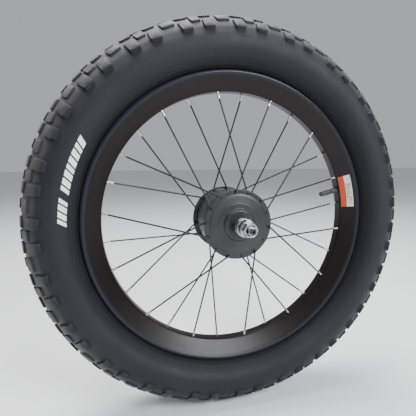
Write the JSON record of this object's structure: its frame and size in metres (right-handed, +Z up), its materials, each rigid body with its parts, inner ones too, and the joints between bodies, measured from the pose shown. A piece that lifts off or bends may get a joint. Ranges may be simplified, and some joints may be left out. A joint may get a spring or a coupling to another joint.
{
  "type": "hub motor wheel",
  "caption": "Fat-tyre spoked wheel with a geared motor in its hub, on a fixed axle with two flats.",
  "frame": {"origin": "centre of the wheel, on the axle's axis, midway between the two axle ends", "axes": "+Y along the axle towards the screwed cover's side, +Z up, +X forward; the valve lies 13 degrees above +X"},
  "size_m": [0.5648, 0.19, 0.5648],
  "materials": {
    "tyre_rubber": "matt black tyre rubber, dusty on the knobs",
    "soft_rubber": "matt black rubber",
    "valve_plastic": "matt black plastic",
    "rim_tape": "red rubber strip",
    "rim_black": "satin black over aluminium",
    "sticker": "printed vinyl, white with an orange edge",
    "spoke_black": "black steel wire, bare nipple",
    "shell_black": "satin black over aluminium",
    "axle_steel": "machined steel",
    "bearing_steel": "ground steel",
    "gear_steel": "hardened steel",
    "zinc": "bright zinc plate",
    "lamination": "stacked silicon steel",
    "copper": "enamelled copper wire",
    "magnet": "nickel-plated magnets",
    "nylon": "natural nylon",
    "board": "green circuit board"
  },
  "bodies": {
    "axle_assembly": {"axle": "axle_steel", "lead_grommet": "soft_rubber", "left_spacer": "axle_steel", "right_spacer": "axle_steel", "left_tab_washer": "zinc", "right_tab_washer": "zinc", "left_axle_nut": "zinc", "right_axle_nut": "zinc", "stator_core": "lamination", "stator_winding": "copper", "hall_board": "board", "planet_carrier": "gear_steel", "clutch_race": "gear_steel"},
    "wheel": {"tyre": "tyre_rubber", "inner_tube": "soft_rubber", "rim_tape": "rim_tape", "rim": "rim_black", "rim_sticker": "sticker", "valve_stem": "soft_rubber", "valve_cap": "valve_plastic", "hub_shell": "shell_black", "side_cover": "shell_black", "left_bearing": "bearing_steel", "right_bearing": "bearing_steel", "ring_gear": "gear_steel", "spoke_left_1": "spoke_black", "spoke_right_1": "spoke_black", "spoke_left_2": "spoke_black", "spoke_right_2": "spoke_black", "spoke_left_3": "spoke_black", "spoke_right_3": "spoke_black", "spoke_left_4": "spoke_black", "spoke_right_4": "spoke_black", "spoke_left_5": "spoke_black", "spoke_right_5": "spoke_black", "spoke_left_6": "spoke_black", "spoke_right_6": "spoke_black", "spoke_left_7": "spoke_black", "spoke_right_7": "spoke_black", "spoke_left_8": "spoke_black", "spoke_right_8": "spoke_black", "spoke_left_9": "spoke_black", "spoke_right_9": "spoke_black", "spoke_left_10": "spoke_black", "spoke_right_10": "spoke_black", "spoke_left_11": "spoke_black", "spoke_right_11": "spoke_black", "spoke_left_12": "spoke_black", "spoke_right_12": "spoke_black", "spoke_left_13": "spoke_black", "spoke_right_13": "spoke_black", "spoke_left_14": "spoke_black", "spoke_right_14": "spoke_black"},
    "rotor": {"rotor_can": "bearing_steel", "magnet_ring": "magnet", "rotor_bearing": "bearing_steel", "sun_gear": "gear_steel"},
    "planet_1": {"planet_gear_1": "nylon"},
    "planet_2": {"planet_gear_2": "nylon"},
    "planet_3": {"planet_gear_3": "nylon"}
  },
  "joints": [
    {"name": "wheel_spin", "type": "hinge", "parent": "axle_assembly", "child": "wheel", "pos_m": [0, 0, 0], "axis": [0, 1, 0], "continuous": true},
    {"name": "rotor_spin", "type": "hinge", "parent": "axle_assembly", "child": "rotor", "pos_m": [0, 0, 0], "axis": [0, 1, 0], "continuous": true},
    {"name": "planet_spin_1", "type": "hinge", "parent": "axle_assembly", "child": "planet_1", "pos_m": [0.02475, 0.0205, 0], "axis": [0, 1, 0], "continuous": true},
    {"name": "planet_spin_2", "type": "hinge", "parent": "axle_assembly", "child": "planet_2", "pos_m": [-0.01238, 0.0205, 0.02143], "axis": [0, 1, 0], "continuous": true},
    {"name": "planet_spin_3", "type": "hinge", "parent": "axle_assembly", "child": "planet_3", "pos_m": [-0.01238, 0.0205, -0.02143], "axis": [0, 1, 0], "continuous": true}
  ],
  "couplings": [
    {"joint": "rotor_spin", "follows": "wheel_spin", "ratio": -2.6667},
    {"joint": "planet_spin_1", "follows": "wheel_spin", "ratio": 3.2},
    {"joint": "planet_spin_2", "follows": "wheel_spin", "ratio": 3.2},
    {"joint": "planet_spin_3", "follows": "wheel_spin", "ratio": 3.2}
  ]
}
